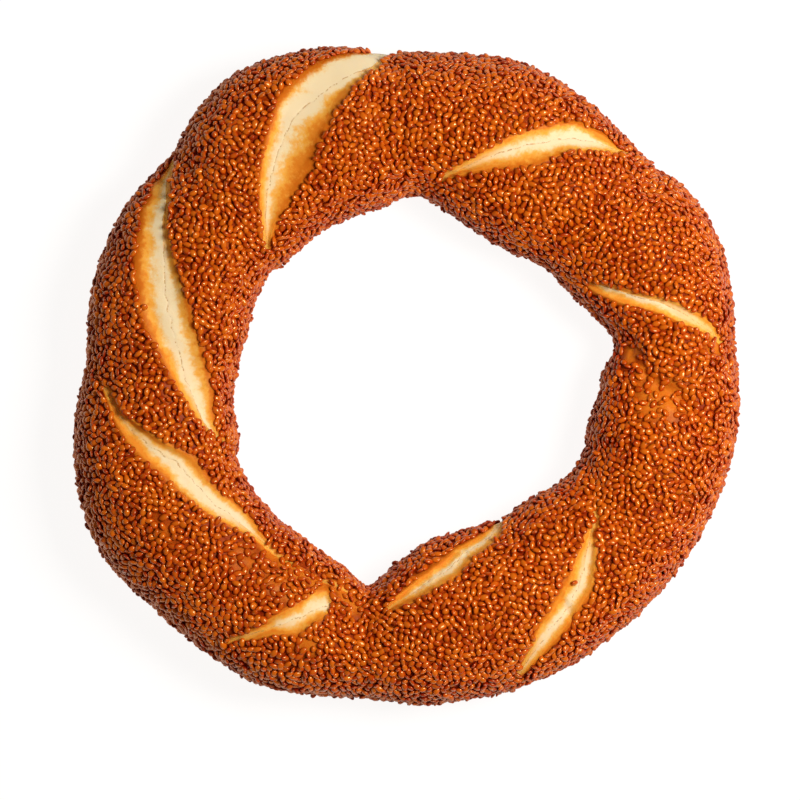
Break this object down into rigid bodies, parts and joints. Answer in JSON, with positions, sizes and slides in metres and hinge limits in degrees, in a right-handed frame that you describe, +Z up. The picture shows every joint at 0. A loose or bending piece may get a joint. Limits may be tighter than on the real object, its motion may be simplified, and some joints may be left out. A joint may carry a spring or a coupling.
{
  "type": "twisted sesame bread ring",
  "caption": "Ring-shaped bread made from a two-strand twist of dough, coated all over in toasted sesame, with pale splits along the seams and a wide open middle.",
  "frame": {"origin": "centre of the footprint of the whole ring, on the flat baked underside", "axes": "+Z up out of the top crust, +X across the ring's longest span; the corner where the rope ends were joined is on the -Y side of the hole"},
  "size_m": [0.19, 0.187, 0.0353],
  "materials": {
    "sesame_crust": "satin",
    "split_dough": "matte"
  },
  "bodies": {
    "root": {"bread_ring": "sesame_crust"}
  },
  "joints": []
}
